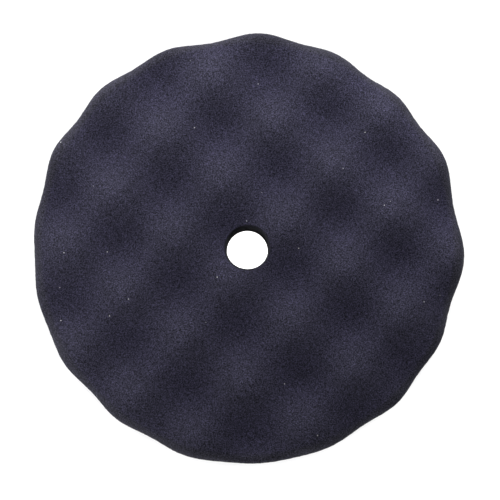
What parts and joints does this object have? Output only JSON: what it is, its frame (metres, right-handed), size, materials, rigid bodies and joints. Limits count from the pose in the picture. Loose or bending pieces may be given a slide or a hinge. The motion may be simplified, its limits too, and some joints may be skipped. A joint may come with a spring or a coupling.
{
  "type": "foam polishing pad",
  "caption": "Round charcoal foam polishing pad with a waffle working face, a centring hole and a flat hook-and-loop backing.",
  "frame": {"origin": "centre of the centring hole at the feet of the backing's loops", "axes": "+Z along the hole's axis, out of the waffle face; +X and +Y lie in the backing, with the waffle's rows turned 6.2 degrees from +X towards +Y"},
  "size_m": [0.2039, 0.2042, 0.0325],
  "materials": {
    "foam": "matte open-cell polyurethane foam",
    "adhesive": "satin hot-melt film",
    "ground_knit": "matte warp-knitted nylon",
    "loop_yarn": "soft sheen napped nylon loops"
  },
  "bodies": {
    "root": {"foam_body": "foam", "adhesive_film": "adhesive", "backing_fabric": "ground_knit", "loop_pile": "loop_yarn"}
  },
  "joints": []
}
